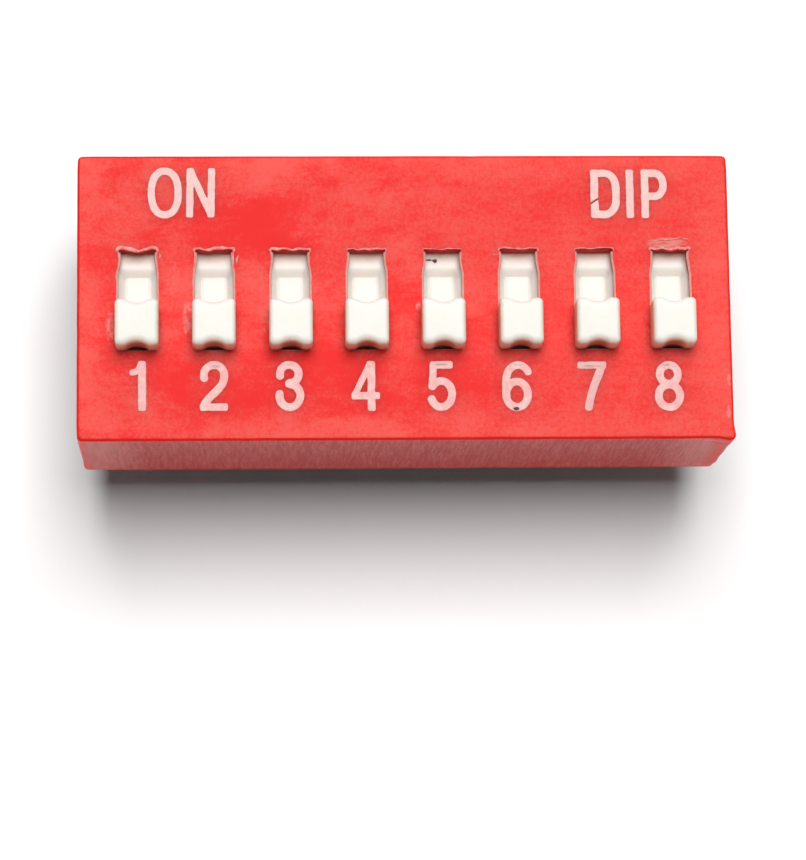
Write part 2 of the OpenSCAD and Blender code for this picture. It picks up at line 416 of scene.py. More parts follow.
class Nodes:
    """A short way to write a procedural material. Lengths are in millimetres of the object's own frame."""

    def __init__(self, name):
        self.material = bpy.data.materials.new(name)
        self.material.use_nodes = True
        self.tree = self.material.node_tree
        self.shader = self.tree.nodes["Principled BSDF"]
        coords = self.tree.nodes.new("ShaderNodeTexCoord")
        scale = self.tree.nodes.new("ShaderNodeVectorMath")
        scale.operation = "SCALE"
        scale.inputs["Scale"].default_value = 1 / MM
        self.link(coords.outputs["Object"], scale.inputs[0])
        self.place = scale.outputs[0]

    def link(self, a, b):
        self.tree.links.new(a, b)

    def put(self, socket, value):
        if hasattr(value, "links"):
            self.link(value, socket)
        else:
            socket.default_value = value

    def stretched(self, x, y, z, shift=(0, 0, 0)):
        node = self.tree.nodes.new("ShaderNodeMapping")
        node.inputs["Scale"].default_value = (x, y, z)
        node.inputs["Location"].default_value = shift
        self.link(self.place, node.inputs["Vector"])
        return node.outputs["Vector"]

    def noise(self, scale, detail=3.0, rough=0.55, vector=None, distortion=0.0):
        node = self.tree.nodes.new("ShaderNodeTexNoise")
        node.inputs["Scale"].default_value = scale
        node.inputs["Detail"].default_value = detail
        node.inputs["Roughness"].default_value = rough
        node.inputs["Distortion"].default_value = distortion
        self.link(vector or self.place, node.inputs["Vector"])
        return node.outputs["Fac"]

    def math(self, operation, a, b=0.0, c=0.0, clamp=False):
        node = self.tree.nodes.new("ShaderNodeMath")
        node.operation = operation
        node.use_clamp = clamp
        for socket, value in zip(node.inputs, (a, b, c)):
            self.put(socket, value)
        return node.outputs[0]

    def times(self, a, b):
        return self.math("MULTIPLY", a, b)

    def largest(self, a, b):
        return self.math("MAXIMUM", a, b)

    def absolute(self, a):
        return self.math("ABSOLUTE", a)

    def weigh(self, a, share, base, clamp=False):
        """A share of one value, added to a base."""
        return self.math("MULTIPLY_ADD", a, share, base, clamp)

    def band(self, value, low, high, out_low=0.0, out_high=1.0):
        node = self.tree.nodes.new("ShaderNodeMapRange")
        node.interpolation_type = "SMOOTHSTEP"
        for key, number in (("From Min", low), ("From Max", high), ("To Min", out_low), ("To Max", out_high)):
            node.inputs[key].default_value = number
        self.put(node.inputs["Value"], value)
        return node.outputs["Result"]

    def axes(self):
        node = self.tree.nodes.new("ShaderNodeSeparateXYZ")
        self.link(self.place, node.inputs[0])
        return node.outputs[0], node.outputs[1], node.outputs[2]

    def spot(self, place, centre, reach):
        """A soft oval patch: 1 in the middle and 0 past its reach along X and Y."""
        parts = []
        for axis, middle, size in zip(place, centre, reach):
            away = self.times(self.math("SUBTRACT", axis, middle), 1 / size)
            parts.append(self.times(away, away))
        return self.band(self.math("ADD", *parts), 1.0, 0.1)

    def facing(self):
        """The surface's own direction, as X, Y and Z."""
        coords = self.tree.nodes.new("ShaderNodeTexCoord")
        node = self.tree.nodes.new("ShaderNodeSeparateXYZ")
        self.link(coords.outputs["Normal"], node.inputs[0])
        return node.outputs[0], node.outputs[1], node.outputs[2]

    def mix(self, factor, a, b):
        node = self.tree.nodes.new("ShaderNodeMix")
        node.data_type = "RGBA"
        self.put(node.inputs[0], factor)
        self.put(node.inputs[6], (*a, 1) if isinstance(a, tuple) else a)
        self.put(node.inputs[7], (*b, 1) if isinstance(b, tuple) else b)
        return node.outputs[2]

    def bump(self, height, depth):
        node = self.tree.nodes.new("ShaderNodeBump")
        node.inputs["Strength"].default_value = 1.0
        node.inputs["Distance"].default_value = depth * MM
        self.put(node.inputs["Height"], height)
        return node.outputs["Normal"]

    def translucent(self, weight, spread, depth):
        """Lets light spread inside the plastic: a share of the depth for red, for green and for blue."""
        self.shader.inputs["Subsurface Weight"].default_value = weight
        self.shader.inputs["Subsurface Radius"].default_value = spread
        self.shader.inputs["Subsurface Scale"].default_value = depth * MM

    def finish(self, colour, roughness, normal, metallic=None, specular=None):
        self.put(self.shader.inputs["Base Color"], colour)
        self.put(self.shader.inputs["Roughness"], roughness)
        self.link(normal, self.shader.inputs["Normal"])
        if metallic is not None:
            self.shader.inputs["Metallic"].default_value = metallic
        if specular is not None:
            self.shader.inputs["Specular IOR Level"].default_value = specular
        return self.material


# Places on the top, as middle and reach in X and Y: where the red is deepest (past the end of ON, and below
# the knobs), and where the knobs' sides and the mould have rubbed it white, with a share
DEEP_RED = [((-5.0, 2.4), (3.2, 1.3)), ((-2.6, -2.9), (7.5, 1.4))]
RUBBED = [((-9.80, -1.0), (0.28, 0.9), 1.0), ((-7.22, -0.7), (0.30, 1.0), 1.0),
          ((-7.75, 0.7), (0.55, 1.3), 0.8), ((-4.65, -0.7), (0.26, 1.1), 0.8),
          ((0.44, -0.35), (0.14, 0.26), 1.1), ((10.78, -2.86), (0.15, 0.36), 1.1),
          ((10.72, -3.95), (0.15, 0.34), 1.1)]


def red_top(n, x, y, grain, streaks, flecks):
    """The cover's top: deep and pale patches, a little drawn out along the row, and a fine grain. The pale
    patches are partly painted sheen, standing in for glossier spots.
    """
    patches = n.noise(0.75, 4, 0.6, n.stretched(0.8, 1.0, 1.0, (3.1, 1.7, 0)), distortion=0.3)
    patches = n.weigh(n.math("SUBTRACT", patches, 0.5), n.band(x, -0.5, 4.0, 1.0, 0.45), 0.5)
    tone = n.weigh(streaks, 0.35, n.weigh(grain, 0.8, patches))
    # It is paler along its edges
    pale = n.largest(n.band(n.absolute(y), 3.6, 4.7), n.band(n.absolute(x), 9.2, 10.6))
    deep = n.largest(*(n.spot((x, y), middle, reach) for middle, reach in DEEP_RED))
    tone = n.weigh(pale, 0.10, n.weigh(deep, -0.15, tone))
    # Partly painted sheen: the pale end of this mix stands in for glossier patches on the top
    colour = n.mix(n.band(tone, 0.82, 1.38), (0.84, 0.006, 0.004), (0.88, 0.105, 0.082))
    rub = 0.0
    for middle, reach, share in RUBBED:
        rub = n.largest(rub, n.times(n.spot((x, y), middle, reach), share))
    rub = n.band(n.times(rub, flecks), 0.36, 0.66)
    # The torn patch over the last window is drawn out along the row
    threads = n.noise(5.0, 4, 0.7, n.stretched(0.35, 2.2, 1.0))
    torn = n.times(n.spot((x, y), (8.78, 1.80), (1.0, 0.30)), threads)
    rub = n.largest(rub, n.band(torn, 0.26, 0.56))
    return n.mix(n.times(rub, 0.8), colour, (0.88, 0.30, 0.27))


def red_walls(n, x, z, facing_x, facing_y, outer):
    """The upright faces. Those outside are frosted, with drag marks from the mould."""
    drag = n.noise(3.2, 4, 0.75, n.stretched(4.0, 1.0, 0.3))
    frost = n.noise(12.0, 4, 0.75)
    frost_and_painted_light = n.weigh(drag, 0.8, n.times(frost, 0.5))
    # Painted light: they are palest near the ends of the row, lit by the floor beside them, and near the top
    frost_and_painted_light = n.weigh(n.band(n.absolute(x), 8.2, 10.4), 0.26, frost_and_painted_light)
    frost_and_painted_light = n.weigh(n.band(z, 1.0, TOP), 0.10, frost_and_painted_light)
    wall = n.mix(n.band(frost_and_painted_light, 0.50, 1.12), (0.57, 0.016, 0.011), (0.88, 0.235, 0.215))
    # Inside the windows the ends are clean. The long sides are pale, partly worn by the knobs and partly
    # painted light, standing in for the light that the ivory plate throws onto them
    inner = n.mix(n.band(facing_x, 0.4, 0.7), (0.96, 0.17, 0.12), (0.94, 0.56, 0.46))
    wall = n.mix(outer, inner, wall)
    # Painted shade darkens the last bit above the lower rim, and the upright corners stay deep red
    wall = n.mix(n.times(n.band(z, 0.05, 0.30), outer), (0.50, 0.010, 0.008), wall)
    corner = n.times(n.times(n.band(facing_x, 0.1, 0.3), n.band(facing_y, 0.1, 0.3)), outer)
    wall = n.mix(n.times(corner, n.band(frost_and_painted_light, 1.1, 0.7)), wall, (0.85, 0.035, 0.025))
    # Painted light: both ends of the front and the back are a brighter, cleaner red, as where the ragged burr
    # catches the light. The right-hand one is torn raggedly, with whitish streaks
    tear = n.noise(2.6, 4, 0.7, n.stretched(0.5, 1.0, 3.0))
    ragged = n.weigh(tear, 0.5, n.weigh(n.band(z, TOP - 1.6, TOP - 0.4), 0.25, x))
    lit_end = n.band(ragged, COVER_HIGH.x - 0.42, COVER_HIGH.x - 0.05)
    lit_end = n.largest(lit_end, n.band(x, 0.50 - COVER_HIGH.x, 0.08 - COVER_HIGH.x, 0.0, 0.5))
    lengthwise = n.times(outer, n.band(facing_x, 0.97, 0.80))
    lit_end = n.times(lit_end, lengthwise)
    wall = n.mix(n.times(lit_end, 0.9), wall, (0.95, 0.06, 0.05))
    streak = n.times(n.band(tear, 0.56, 0.66), n.band(x, COVER_HIGH.x - 2.4, COVER_HIGH.x - 0.6))
    streak = n.times(n.times(streak, lengthwise), n.band(z, TOP - 2.6, TOP - 0.6))
    return n.mix(n.times(streak, 0.7), wall, (0.92, 0.42, 0.38))


def red_plastic():
    n = Nodes("red_cover")
    x, y, z = n.axes()
    facing = n.facing()
    facing_x, facing_y, facing_z = n.absolute(facing[0]), n.absolute(facing[1]), facing[2]

    def near_outside(start, end):
        """1 within a distance of the cover's outer faces, and 0 farther in."""
        return n.largest(n.band(n.absolute(y), COVER_HIGH.y - start, COVER_HIGH.y - end),
                         n.band(n.absolute(x), COVER_HIGH.x - start, COVER_HIGH.x - end))

    grain = n.noise(9.0, 3, 0.75)
    streaks = n.noise(2.4, 3, 0.6, n.stretched(0.5, 2.2, 1.0))
    flecks = n.noise(7.0, 4, 0.8, n.stretched(1.3, 0.8, 1.0))
    wall = red_walls(n, x, z, facing_x, facing_y, near_outside(0.1, 0.04))
    colour = n.mix(n.band(facing_z, 0.35, 0.7), wall, red_top(n, x, y, grain, streaks, flecks))
    # Painted shade: the cover's rounded edges are deep red, standing in for their dimmer reflection and
    # shading
    rim = near_outside(0.24, 0.18)
    rounded = n.times(n.band(facing_z, 0.05, 0.3), n.band(facing_z, 0.985, 0.86))
    colour = n.mix(n.times(rounded, rim), colour, (0.78, 0.013, 0.009))
    # The windows' long sides are rubbed pale along their bevels
    bevel = n.times(n.band(facing_z, 0.20, 0.40), n.band(facing_z, 0.97, 0.88))
    bevel = n.times(n.times(bevel, n.band(facing_x, 0.15, 0.35)), n.math("SUBTRACT", 1.0, rim))
    colour = n.mix(n.times(bevel, n.band(flecks, 0.2, 0.6, 0.55, 1.0)), colour, (0.94, 0.48, 0.41))
    relief = n.weigh(streaks, 0.4, n.times(grain, 0.6))
    n.translucent(1.0, (1.0, 0.05, 0.035), 0.7)
    return n.finish(colour, n.weigh(grain, 0.18, 0.42), n.bump(relief, 0.012), specular=0.14)


def burr_plastic():
    """Thin burrs of the red plastic, whitened where they were torn."""
    n = Nodes("red_burr")
    torn = n.band(n.noise(5.0, 3, 0.6), 0.35, 0.65)
    colour = n.mix(torn, (0.80, 0.09, 0.08), (0.88, 0.34, 0.30))
    return n.finish(colour, n.weigh(torn, 0.2, 0.4), n.bump(n.noise(16.0), 0.01))


def ivory_plastic():
    n = Nodes("ivory_slider")
    x, y, z = n.axes()
    cloud = n.noise(0.9, 3, 0.5)
    speck = n.noise(14.0, 3, 0.7)
    colour = n.mix(n.band(cloud, 0.35, 0.7), (0.82, 0.80, 0.735), (0.845, 0.83, 0.775))
    colour = n.mix(n.band(speck, 0.66, 0.74), colour, (0.70, 0.64, 0.55))
    # Painted warm brown shade round the knob's foot, and on the plate where it slides under the cover, below
    # the window's wall
    uneven = n.weigh(n.noise(3.5, 3, 0.6), 0.5, -0.25)
    foot = n.band(n.math("ADD", z, uneven), TOP + 0.85, TOP - 0.05)
    knob = n.times(foot, n.band(z, PLATE_TOP - 0.05, TOP - 0.1))
    shelf_shade = n.band(n.weigh(uneven, 0.5, y), 1.05, 1.60)
    painted_shade = n.largest(knob, n.times(shelf_shade, 0.7))
    colour = n.mix(n.times(painted_shade, 0.6), colour, (0.82, 0.38, 0.20))
    # Painted shade on the knob's front, which faces away from the lamp, and on its flanks, warmed as by light
    # from the red cover
    above = n.band(z, TOP - 0.1, TOP)
    facing_x, facing_y, _ = n.facing()
    front = n.times(n.band(facing_y, -0.15, -0.7), above)
    colour = n.mix(n.times(front, 0.30), colour, (0.84, 0.62, 0.38))
    flank = n.times(n.band(n.absolute(facing_x), 0.25, 0.7), above)
    colour = n.mix(n.times(flank, 0.45), colour, (0.88, 0.76, 0.58))
    # The painted shade is darkest in the fingernail groove: across runs from 0 at a knob's middle
    across = n.math("PINGPONG", n.math("SUBTRACT", x, PITCH / 2), PITCH / 2)
    groove = n.times(n.band(across, 0.50, 0.20), front)
    groove = n.times(groove, n.band(n.math("ADD", z, uneven), TOP + 1.05, TOP + 0.55))
    colour = n.mix(n.times(groove, 0.75), colour, (0.50, 0.20, 0.09))
    roughness = n.weigh(cloud, 0.15, 0.42)
    n.translucent(1.0, (1.0, 0.8, 0.65), 0.5)
    return n.finish(colour, roughness, n.bump(n.noise(7.0, 2), 0.006), specular=0.35)


# Grey marks across the tops of some digits: middle in X and Y, half length and strength
GREY_MARKS = [(-6.35, -2.36, 0.24, 0.8), (-3.88, -2.31, 0.20, 0.35), (-1.24, -2.38, 0.09, 0.5),
              (1.15, -2.32, 0.32, 0.75), (3.73, -2.34, 0.20, 0.45), (6.19, -2.40, 0.40, 0.8),
              (8.70, -2.36, 0.20, 0.95), (8.88, -2.41, 0.16, 0.5)]


def ink():
    n = Nodes("pale_ink")
    x, y, z = n.axes()
    thin = n.band(n.weigh(n.noise(1.1, 2, 0.5), 0.5, n.noise(4.5, 3, 0.7)), 0.55, 0.95)
    colour = n.mix(thin, (0.79, 0.35, 0.325), (0.82, 0.55, 0.515))
    # Lilac and greyish stains, thickest on the 7, and a cleaner ON and DIP
    lilac = n.band(n.noise(2.2, 3, 0.6, n.stretched(1.0, 1.0, 1.0, (7.3, 2.9, 0))), 0.45, 0.75)
    colour = n.mix(n.times(lilac, 0.45), colour, (0.78, 0.38, 0.43))
    seven = n.spot((x, y), (6.2, -3.0), (1.1, 1.6))
    colour = n.mix(n.times(seven, 0.4), colour, (0.66, 0.33, 0.31))
    colour = n.mix(n.band(y, 0.0, 1.0, 0.0, 0.35), colour, (0.85, 0.66, 0.62))
    marks = 0.0
    for middle, level, half, share in GREY_MARKS:
        mark = n.spot((x, y), (middle, level), (half, 0.055))
        marks = n.weigh(mark, share, marks, clamp=True)
    marks = n.times(marks, n.band(n.noise(6.0, 3, 0.7, n.stretched(0.6, 1.6, 1.0)), 0.30, 0.55))
    colour = n.mix(marks, colour, (0.36, 0.25, 0.27))
    return n.finish(colour, n.weigh(thin, 0.15, 0.5), n.bump(n.noise(18.0, 2), 0.004), specular=0.3)


def black_plastic():
    n = Nodes("black_base")
    grain = n.noise(8.0, 4, 0.6)
    flow = n.noise(0.5, 3, 0.5, n.stretched(0.4, 1.0, 1.0), distortion=0.5)
    colour = n.mix(n.band(flow, 0.35, 0.65), (0.022, 0.022, 0.024), (0.035, 0.034, 0.036))
    return n.finish(colour, n.weigh(grain, 0.25, 0.42), n.bump(grain, 0.01))


def metal(name, bright, dull, rough):
    """Stamped strip with rolling lines along Z and a dulled film."""
    n = Nodes(name)
    lines = n.noise(5.0, 3, 0.6, n.stretched(4.0, 4.0, 0.3))
    film = n.noise(1.6, 3, 0.6)
    colour = n.mix(n.band(film, 0.35, 0.7), bright, dull)
    roughness = n.weigh(lines, 0.2, rough)
    return n.finish(colour, roughness, n.bump(lines, 0.004), metallic=1.0)


def dirt(name, dark, light):
    n = Nodes(name)
    colour = n.mix(n.band(n.noise(20.0, 3, 0.6), 0.4, 0.6), dark, light)
    return n.finish(colour, n.weigh(n.noise(30.0), 0.2, 0.6), n.bump(n.noise(25.0), 0.01))


RED, BURR, IVORY, INK, BLACK = red_plastic(), burr_plastic(), ivory_plastic(), ink(), black_plastic()
TIN = metal("tinned_strip", (0.74, 0.74, 0.72), (0.58, 0.57, 0.55), 0.28)
GOLD = metal("gilt_strip", (0.83, 0.62, 0.27), (0.70, 0.49, 0.20), 0.22)
DIRT = dirt("dark_dirt", (0.03, 0.018, 0.016), (0.10, 0.045, 0.04))


def dress(ob, material, body):
    """Finishes a new piece: its true size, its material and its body."""
    to_metres(ob)
    ob.data.materials.clear()
    ob.data.materials.append(material)
    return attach(ob, body)


def redress(node, material):
    """Gives a CAD node a better material."""
    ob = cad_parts[node]
    for k in range(len(ob.material_slots)):
        ob.material_slots[k].material = material
    if not ob.material_slots:
        ob.data.materials.append(material)


# ---------------------------------------------------------------- cover

# How the burr on each window's ON side hangs into the window, at places across its width from -1 to 1
LIPS = {
    1: [(-1, 0.0), (-0.75, -0.02), (-0.35, 0.03), (0.0, 0.085), (0.35, 0.03), (0.7, -0.035), (1, 0.0)],
    2: [(-1, 0.0), (-0.7, -0.02), (-0.45, 0.03), (-0.25, 0.045), (0.0, 0.0), (0.45, -0.01), (0.8, -0.02),
        (1, 0.0)],
    3: [(-1, 0.0), (-0.6, 0.03), (-0.35, -0.01), (0.1, 0.045), (0.5, 0.0), (0.8, 0.03), (1, 0.0)],
    4: [(-1, 0.01), (-0.65, -0.01), (-0.4, 0.035), (-0.1, 0.01), (0.15, 0.04), (0.5, 0.0), (0.8, 0.02),
        (1, -0.02)],
    5: [(-1, 0.0), (-0.4, 0.01), (-0.05, 0.03), (0.3, 0.0), (1, 0.01)],
    6: [(-1, 0.01), (-0.7, -0.02), (-0.2, 0.0), (0.2, 0.03), (0.6, -0.01), (1, 0.0)],
    7: [(-1, 0.02), (-0.5, -0.01), (-0.2, 0.02), (0.3, -0.02), (0.8, -0.02), (1, 0.02)],
    8: [(-1, 0.0), (-0.65, 0.05), (-0.4, 0.0), (0.05, 0.075), (0.4, 0.02), (0.75, 0.05), (1, -0.01)],
}
# Half the burr's width: along that side, and along the two long sides
BURRS = {1: (0.075, 0.030), 2: (0.062, 0.032), 3: (0.050, 0.030), 4: (0.036, 0.024),
         5: (0.020, 0.014), 6: (0.034, 0.018), 7: (0.030, 0.016), 8: (0.070, 0.026)}


def ease(points, at):
    """A smooth line through points, read at one place."""
    for (a, va), (b, vb) in zip(points, points[1:]):
        if at <= b:
            t = min(1, max(0, (at - a) / (b - a)))
            return va + (vb - va) * t * t * (3 - 2 * t)
    return points[-1][1]


def fall(at, start, end):
    """1 up to start, 0 from end on, and a smooth slope between."""
    t = min(1, max(0, (end - at) / (end - start)))
    return t * t * (3 - 2 * t)


def window_line(i, lips):
    """A window's outline with a share of the burr's shape at its ON end, and the way out at each point."""
    line = []
    half_w, half_l = WINDOW_W / 2, WINDOW_L / 2
    for px, py, nx, ny in round_rect(half_w, half_l, WINDOW_R, arc=6, gap=0.06):
        # The opening is narrower towards ON, where no knob has rubbed it
        narrow = 0.070 * (1 - fall(py, 0.80, 1.40)) * nx * nx - 0.012 * ny * ny
        ragged = 0.009 * wave(px * 2.3 + 5 * i, py * 2.3, i) + 0.005 * wave(px * 8 + i, py * 8, i + 9)
        out = ragged - narrow
        x, y = px + nx * out, py + ny * out
        y -= lips * max(0, ny) ** 2 * ease(LIPS[i], px / half_w)
        line.append((WINDOW_X[i - 1] + x, WINDOW_Y + y, nx, ny))
    return line


# How far the wall at a window's ON end leans inwards, from the top to a depth
LEAN, LEAN_DEPTH = 0.035, 0.42
# The hole's shape through the cover: height over the top, how far it lies outside the window's line at its
# ends and along its long sides, and the share of the burr's shape. The top edges are rounded, and the long
# sides have a bevel.
WINDOW_STEPS = [(-TOP_T - 0.4, 0.0, 0.0, 0), (-0.42, 0.0, -0.006, 0), (-0.28, 0.0, -0.030, 0.2),
                (-0.16, -0.004, -0.046, 0.5), (-0.09, 0.0, -0.050, 0.8), (-0.06, 0.002, -0.038, 0.9),
                (-0.03, 0.006, -0.012, 1.0), (-0.012, 0.018, 0.010, 1.0), (0.0, 0.040, 0.030, 1.0),
                (0.2, 0.30, 0.30, 1.0)]


def window_cutter(i):
    """What a window's hole takes out of the cover."""
    loops = []
    for z, end, side, lips in WINDOW_STEPS:
        lean = LEAN * (1 - fall(-z, 0.0, LEAN_DEPTH))
        loop = []
        for x, y, nx, ny in window_line(i, lips):
            out = end * ny * ny + side * nx * nx
            loop.append((x + nx * out, y + ny * out - lean * max(0, ny) ** 2, TOP + z))
        loops.append(loop)
    return loft(f"cut_{i}", loops)


def bell(at, middle, reach):
    """1 at the middle and 0 past its reach."""
    t = max(0, 1 - abs(at - middle) / reach)
    return t * t * (3 - 2 * t)


# The burr up the cover's front right corner, as bumps: size, middle height and reach
CORNER_BURR = [(0.10, TOP - 0.4, 1.6), (0.05, 3.1, 1.7), (0.05, 1.2, 1.0)]


def cover_outline(inset, z):
    """The cover's outline at a height: a little dented, with a burr at its front right corner."""
    line = []
    for px, py, nx, ny in round_rect(COVER_HIGH.x, COVER_HIGH.y, CORNER_R, arc=6, gap=0.35):
        out = -0.010 * max(0, wave(px * 1.1, py * 1.1, 3)) - 0.004 * abs(wave(px * 4, py * 4, 4))
        corner = bell(math.hypot(abs(px) - COVER_HIGH.x, abs(py) - COVER_HIGH.y), 0, 0.5)
        out += corner * 0.03 * (wave(px + z * 1.9, py, 6) - 0.3)
        if px > 0 > py:
            out += corner * sum(size * bell(z, middle, reach) for size, middle, reach in CORNER_BURR)
        # The lower rim is worn away towards both ends of the front
        lift = 0.0
        if py < 0 and z < 0.1:
            lift = 0.08 * (1 - fall(-px, 9.95, 10.15)) + 0.05 * (1 - fall(px, 9.4, 9.6))
        line.append((px + nx * (out - inset), py + ny * (out - inset), z + lift))
    return line


# The pockets for the base's latches in the end walls: depth, half length, and the heights of the foot, of the
# deepest place and of the slope's end
POCKET_DEPTH, POCKET_HALF = 0.21, 1.23
POCKET_Z = (0.77, 1.0, 1.43)


def cover():
    """The cover's shell, with its cavity, latch pockets and windows."""
    levels = (0.4, 1.0, 1.7, 2.4, 3.1, 3.8, 4.5, 5.0, TOP - EDGE_R)
    # How far each loop lies inside the outline, and its height
    rim = [(0.02, 0.0), (0.0, 0.03)] + [(0.0, z) for z in levels]
    rim += [(EDGE_R * (1 - math.cos(a)), TOP - EDGE_R + EDGE_R * math.sin(a))
            for a in (math.radians(d) for d in (18, 36, 54, 72, 90))]
    ob = loft("cover_shell", [cover_outline(inset, z) for inset, z in rim])
    x, y = COVER_HIGH.x - END_WALL, COVER_HIGH.y - SIDE_WALL
    cutters = [box_solid("cavity", (-x, -y, -1), (x, y, TOP - TOP_T))]
    inner, outer = x - 0.1, x + POCKET_DEPTH
    foot, deepest, slope_end = POCKET_Z
    profile = [(inner, foot), (outer, foot), (outer, deepest), (x - 0.03, slope_end), (inner, slope_end)]
    for side in (-1, 1):
        ends = (-POCKET_HALF, POCKET_HALF)
        cutters.append(loft("pocket", [[(side * px, py, pz) for px, pz in profile] for py in ends]))
    combine(ob, cutters, "DIFFERENCE")
    combine(ob, [window_cutter(i) for i in range(1, COUNT + 1)], "DIFFERENCE")
    smooth(ob, 32, 100)
    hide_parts("cover")
    dress(ob, RED, "housing")


def tube(name, line, radii, ring=False, sides=8, flat=1.0):
    """A rough tube along a line, with a radius at each point, flattened to a share of its height."""
    loops = []
    count = len(line)
    for k, (p, r) in enumerate(zip(line, radii)):
        before = Vector(line[k - 1] if ring or k else line[0])
        after = Vector(line[(k + 1) % count] if ring or k < count - 1 else line[-1])
        along = (after - before).normalized()
        side = along.cross(Vector((0, 0, 1))).normalized()
        up = side.cross(along)
        loop = []
        for j in range(sides):
            a = 2 * math.pi * j / sides
            loop.append(tuple(Vector(p) + side * (r * math.cos(a)) + up * (r * flat * math.sin(a))))
        loops.append(loop)
    return loft(name, loops, ring)


def window_burr(i):
    """The thin raised burr round a window."""
    north, side = BURRS[i]
    line, radii = [], []
    for x, y, nx, ny in window_line(i, 1.0):
        if ny > 0.5:
            wide = north
        elif ny > -0.5:
            # It grows along the long sides, from the digits towards ON
            share = min(1, max(0, (y + 0.9) / 2.2))
            wide = side * (0.2 + 0.6 * share * share)
        else:
            wide = 0.009
        lump = 0.8 + 0.55 * wave(x * 3.1, y * 3.1, i + 20) + 0.35 * wave(x * 8, y * 8, i + 21)
        r = max(0.006, wide * lump)
        radii.append(r)
        out = 0.016 + 0.55 * r
        line.append((x + nx * out, y + ny * out, TOP - 0.006))
    ob = tube(f"window_burr_{i}", line, radii, ring=True, flat=0.55)
    smooth(ob, 80)
    dress(ob, BURR, "housing")


# Single torn whiskers that lie on the cover: the window beside each, its thickness, and its points with their
# heights over the top
WHISKERS = [
    (1, 0.035, [(-8.17, 1.50, 0.01), (-8.13, 1.42, 0.03), (-8.16, 1.33, 0.01)]),
    (2, 0.040, [(-5.55, 1.40, 0.012), (-5.58, 1.30, 0.03), (-5.60, 1.20, 0.02), (-5.61, 1.11, 0.01)]),
    (6, 0.026, [(3.12, 1.43, 0.01), (3.03, 1.41, 0.02), (2.95, 1.42, 0.01)]),
    (8, 0.028, [(8.20, 1.84, 0.008), (8.55, 1.90, 0.012), (8.95, 1.92, 0.016), (9.25, 1.97, 0.014),
                (9.50, 1.94, 0.006)]),
]


def whisker(window, thick, points):
    """A whisker is thickest in its middle."""
    line = [(x, y, TOP + z) for x, y, z in points]
    count = len(line)
    radii = [thick * (0.35 + math.sin(math.pi * (k + 0.6) / (count + 0.4))) * 0.75 for k in range(count)]
    ob = tube(f"whisker_{window}", line, radii)
    smooth(ob, 80)
    dress(ob, BURR, "housing")


cover()
for i in range(1, COUNT + 1):
    window_burr(i)
for i, thick, points in WHISKERS:
    whisker(i, thick, points)


# ---------------------------------------------------------------- actuators

def knob_line(z, inset=0.0, inset_end=0.0, narrow=1.0, short=1.0):
    """The knob's outline from above, with a fingernail groove in each end face. It is inset along its sides
    and at its ends, or scaled to a share of its width and length."""
    line = []
    for px, py, nx, ny in round_rect(HEAD_W / 2, KNOB_L / 2, KNOB_R, arc=7, gap=0.06):
        x, y = px * narrow - nx * inset, py * short * (1 - 2 * inset_end / KNOB_L)
        if abs(ny) > 0.5:
            deep = math.sqrt(GROOVE_R ** 2 - min(px ** 2, GROOVE_R ** 2)) - GROOVE_R + GROOVE_DEPTH
            # The groove runs softly into the flat face beside it
            deep = 0.5 * (deep + math.hypot(deep, 0.02))
            y = math.copysign(min(abs(y), KNOB_L / 2 - inset_end - deep), ny)
        line.append((x, y, z))
    return line


def knob_solid():
    """The neck in the window and the head over it, with rounded upper edges."""
    head = TOP + HEAD_GAP
    top = TOP + KNOB_H
    neck = (NECK_W / HEAD_W, NECK_L / KNOB_L)
    loops = [knob_line(PLATE_TOP - RECESS_DEPTH - 0.1, 0, 0, *neck), knob_line(head, 0, 0, *neck),
             knob_line(head, 0.015, 0.015), knob_line(head + 0.03)]
    loops += [knob_line(top - KNOB_END_R * 0.8 * (1 - math.sin(a)),
                        KNOB_TOP_R * (1 - math.cos(a)), KNOB_END_R * (1 - math.cos(a)))
              for a in (math.radians(d) for d in (0, 15, 30, 45, 60, 75, 90))]
    return loft("knob", loops)


# Where the slopes start and end, from the edges of the recess and of the spine: at the sides and at the ends
RECESS_SLOPES = ((-0.14, 0.05), (-0.36, 0.06))
SPINE_SLOPES = ((-0.08, 0.06), (-0.03, 0.07))


def mound(x, y, width, length, slopes):
    """1 over an oblong, 0 outside, and smooth slopes between."""
    (side_start, side_end), (end_start, end_end) = slopes
    return (fall(x, width / 2 + side_start, width / 2 + side_end)
            * fall(y, length / 2 + end_start, length / 2 + end_end))


def plate_height(x, y):
    """The plate's upper face: its softened rim, and the recess with the spine along it."""
    x, y = abs(x), abs(y)
    recess = mound(x, y, RECESS_W, RECESS_L, RECESS_SLOPES)
    spine = mound(x, y, SPINE_W, SPINE_L, SPINE_SLOPES)
    z = PLATE_TOP - RECESS_DEPTH * recess
    z += (PLATE_TOP - SPINE_DROP - z) * spine
    for at, edge in ((x, PLATE_W / 2), (y, PLATE_L / 2)):
        past = max(0, at - (edge - PLATE_R)) / PLATE_R
        z -= PLATE_R * (1 - math.sqrt(max(0, 1 - past * past)))
    return z


